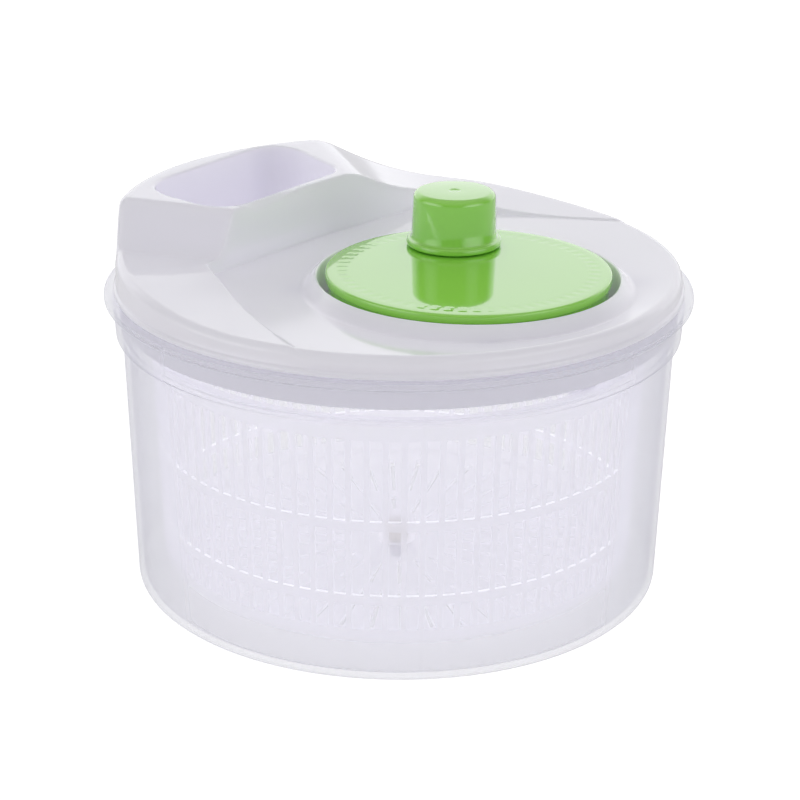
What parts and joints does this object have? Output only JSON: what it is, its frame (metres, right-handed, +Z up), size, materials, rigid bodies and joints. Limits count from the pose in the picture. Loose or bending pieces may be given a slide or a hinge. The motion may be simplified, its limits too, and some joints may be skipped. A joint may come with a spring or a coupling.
{
  "type": "salad spinner",
  "caption": "Hand-cranked salad spinner: clear bowl, slotted basket, domed lid with a side filling port, and a flat geared crank disc with a knob.",
  "frame": {"origin": "centre of the bowl's flat underside, on the axis that the basket spins about", "axes": "+Z up along the basket's spin axis; +X from the lid's filling port towards the crank disc's axis"},
  "size_m": [0.2448, 0.2448, 0.166],
  "materials": {
    "clear_plastic": "translucent frosted polypropylene",
    "white_plastic": "high gloss white",
    "green_plastic": "high gloss apple green",
    "bearing_plastic": "natural acetal",
    "steel": "plain stainless"
  },
  "bodies": {
    "bowl": {"bowl": "clear_plastic", "pivot_pin": "steel"},
    "basket": {"basket": "clear_plastic", "basket_bush": "bearing_plastic"},
    "lid": {"lid": "white_plastic", "gear_tray": "white_plastic", "tray_screw_1": "steel", "tray_screw_2": "steel", "tray_screw_3": "steel", "tray_screw_4": "steel", "disc_bush": "bearing_plastic", "shaft_bush": "bearing_plastic"},
    "crank_disc": {"crank_disc": "green_plastic", "disc_washer": "steel", "disc_screw": "steel"},
    "knob": {"knob": "green_plastic", "knob_washer": "steel", "knob_screw": "steel"},
    "drive": {"pinion": "bearing_plastic", "drive_shaft": "steel", "shaft_clip": "steel", "drive_spider": "white_plastic", "spider_washer": "steel", "spider_screw": "steel"}
  },
  "joints": [
    {"name": "lid_lift", "type": "slide", "parent": "bowl", "child": "lid", "axis": [0, 0, 1], "range_m": [0, 0.1]},
    {"name": "disc_spin", "type": "hinge", "parent": "lid", "child": "crank_disc", "pos_m": [0.03675, 0, 0.13], "axis": [0, 0, 1], "continuous": true},
    {"name": "knob_spin", "type": "hinge", "parent": "crank_disc", "child": "knob", "pos_m": [0.01075, 0.0227, 0.15], "axis": [0, 0, 1], "continuous": true},
    {"name": "drive_spin", "type": "hinge", "parent": "lid", "child": "drive", "pos_m": [0, 0, 0.125], "axis": [0, 0, 1], "continuous": true},
    {"name": "basket_spin", "type": "hinge", "parent": "bowl", "child": "basket", "pos_m": [0, 0, 0.015], "axis": [0, 0, 1], "continuous": true}
  ],
  "couplings": [
    {"joint": "drive_spin", "follows": "disc_spin", "ratio": 3.3333},
    {"joint": "basket_spin", "follows": "disc_spin", "ratio": 3.3333}
  ]
}
